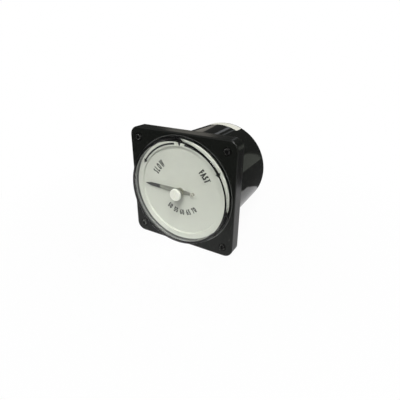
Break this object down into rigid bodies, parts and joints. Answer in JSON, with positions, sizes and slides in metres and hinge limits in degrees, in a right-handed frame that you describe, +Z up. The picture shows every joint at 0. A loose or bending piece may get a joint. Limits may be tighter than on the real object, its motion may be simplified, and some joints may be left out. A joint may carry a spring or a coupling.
{
  "type": "analog panel meter",
  "caption": "Flush square-flange panel meter: a free-turning slow/fast pointer over a dished round dial, behind a clear cup window, with a round barrel and studs behind.",
  "frame": {"origin": "centre of the flange's rear face, which seats on the panel", "axes": "+Y into the panel along the barrel, -Y towards the reader, +X to the reader's right, +Z up the dial"},
  "size_m": [0.1112, 0.1199, 0.1112],
  "materials": {
    "black_moulding": "satin black moulding, glossier on the barrel",
    "clear_window": "clear moulded plastic, polished",
    "gasket_rubber": "matt black rubber",
    "cap_plastic": "white moulded plastic",
    "dial_paint": "matt grey-white enamel",
    "dial_ink": "black screen print",
    "blackened_steel": "black oxide",
    "plated_steel": "zinc plated",
    "soft_iron": "annealed soft iron",
    "lamination_steel": "stacked laminations, dark varnish",
    "pointer_metal": "matt light grey",
    "pointer_black": "matt black paint",
    "weight_metal": "nickel plated",
    "brass": "turned brass",
    "former_nylon": "natural nylon",
    "coil_wire": "enamelled copper wire",
    "coil_wire_dark": "enamelled copper wire, darker",
    "board_phenolic": "brown phenolic sheet",
    "resistor_ceramic": "vitreous green",
    "capacitor_can": "drawn can",
    "lead_insulation": "red insulation",
    "label_paper": "cream paper, bare"
  },
  "bodies": {
    "case": {"case": "black_moulding", "front_cover": "black_moulding", "window": "clear_window", "window_gasket": "gasket_rubber", "dial_plate": "dial_paint", "dial_print": "dial_ink", "cover_screws": "blackened_steel", "dial_studs": "plated_steel", "movement_plate": "plated_steel", "plate_screws": "plated_steel", "bridge_screws": "plated_steel", "stator_bolts": "plated_steel", "rear_jewel_screw": "plated_steel", "mounting_studs": "plated_steel", "front_stack": "lamination_steel", "rear_stack": "lamination_steel", "dial_stud_nuts": "brass", "bridge_posts": "brass", "front_bridge": "brass", "front_bearing": "brass", "stator_spacers": "brass", "rear_bridge": "brass", "stator_nuts": "brass", "jewel_lock_nut": "brass", "terminal_studs": "brass", "terminal_nuts": "brass", "terminal_washers": "brass", "inner_nuts": "brass", "coil_former": "former_nylon", "polarising_coil": "coil_wire", "phase_a_winding": "coil_wire", "phase_b_winding": "coil_wire_dark", "component_board": "board_phenolic", "series_resistors": "resistor_ceramic", "phase_capacitor": "capacitor_can", "internal_leads": "lead_insulation", "barrel_label": "label_paper"},
    "pointer": {"pointer_arm": "pointer_metal", "pointer_blade": "pointer_black", "pointer_weight": "weight_metal", "pointer_hub": "weight_metal", "pointer_staff": "plated_steel", "rotor_sleeve": "soft_iron", "front_vane": "soft_iron", "rear_vane": "soft_iron"},
    "cap": {"center_cap": "cap_plastic", "cap_retainer": "plated_steel"}
  },
  "joints": [
    {"name": "pointer_turn", "type": "hinge", "parent": "case", "child": "pointer", "pos_m": [0, 0, 0], "axis": [0, 1, 0], "continuous": true},
    {"name": "cap_turn", "type": "hinge", "parent": "case", "child": "cap", "pos_m": [0, 0, 0], "axis": [0, 1, 0], "continuous": true}
  ]
}
